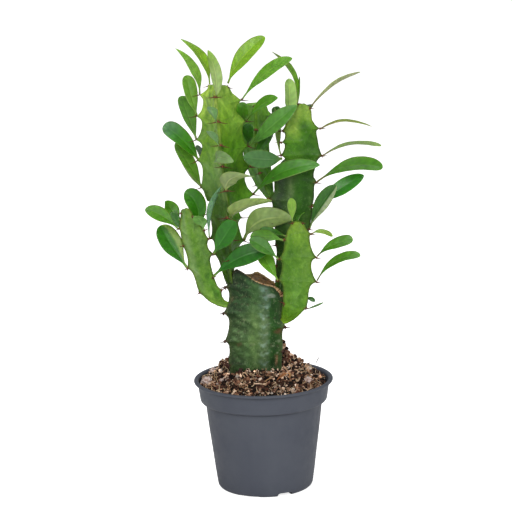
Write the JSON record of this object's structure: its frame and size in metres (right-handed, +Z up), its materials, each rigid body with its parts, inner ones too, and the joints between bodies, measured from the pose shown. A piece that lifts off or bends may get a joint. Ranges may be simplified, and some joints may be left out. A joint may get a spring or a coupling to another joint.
{
  "type": "potted euphorbia plant",
  "caption": "Potted euphorbia: stout ribbed old stem cut off at the top, ribbed side shoots with small spines and fleshy spoon-shaped leaves, in soil in a plain grey nursery pot.",
  "frame": {"origin": "centre of the pot's underside, on the surface that it stands on", "axes": "+Z up along the pot's axis; the plant's front, as pictured, looks along -Y; +X to the right in that view"},
  "size_m": [0.2011, 0.132, 0.3912],
  "materials": {
    "pot_plastic": "satin mid-grey injection-moulded plastic",
    "soil": null,
    "old_stem": "dark blue-green waxy skin with paler marbling; leather stands in for plant skin",
    "young_stem": "bright green waxy skin; leather stands in for plant skin",
    "leaf": "smooth fleshy leaf, soft sheen; leather stands in for leaf"
  },
  "bodies": {
    "root": {"pot": "pot_plastic", "soil": "soil", "trunk": "old_stem", "shoot_left_low": "young_stem", "shoot_left_tall": "young_stem", "shoot_right_tall": "young_stem", "shoot_right_low": "young_stem", "shoot_rear": "young_stem", "leaf_left_tall_1": "leaf", "leaf_left_tall_2": "leaf", "leaf_left_tall_3": "leaf", "leaf_left_tall_4": "leaf", "leaf_left_tall_5": "leaf", "leaf_left_tall_6": "leaf", "leaf_left_tall_7": "leaf", "leaf_left_tall_8": "leaf", "leaf_left_tall_9": "leaf", "leaf_left_tall_10": "leaf", "leaf_left_tall_11": "leaf", "leaf_left_tall_12": "leaf", "leaf_left_tall_13": "leaf", "leaf_left_tall_14": "leaf", "leaf_left_tall_15": "leaf", "leaf_left_tall_16": "leaf", "leaf_left_tall_17": "leaf", "leaf_left_tall_18": "leaf", "leaf_left_tall_19": "leaf", "leaf_left_tall_20": "leaf", "leaf_left_tall_21": "leaf", "leaf_rear_1": "leaf", "leaf_rear_2": "leaf", "leaf_left_low_1": "leaf", "leaf_left_low_2": "leaf", "leaf_left_low_3": "leaf", "leaf_left_low_4": "leaf", "leaf_left_low_5": "leaf", "leaf_left_low_6": "leaf", "leaf_left_low_7": "leaf", "leaf_left_low_8": "leaf", "leaf_right_low_1": "leaf", "leaf_right_low_2": "leaf", "leaf_right_low_3": "leaf", "leaf_right_low_4": "leaf", "leaf_right_low_5": "leaf", "leaf_right_low_6": "leaf", "leaf_right_low_7": "leaf", "leaf_right_low_8": "leaf", "leaf_right_tall_1": "leaf", "leaf_right_tall_2": "leaf", "leaf_right_tall_3": "leaf", "leaf_right_tall_4": "leaf", "leaf_right_tall_5": "leaf", "leaf_right_tall_6": "leaf", "leaf_right_tall_7": "leaf", "leaf_right_tall_8": "leaf", "leaf_right_tall_9": "leaf", "leaf_right_tall_10": "leaf", "leaf_right_tall_11": "leaf", "leaf_right_tall_12": "leaf", "leaf_right_tall_13": "leaf"}
  },
  "joints": []
}
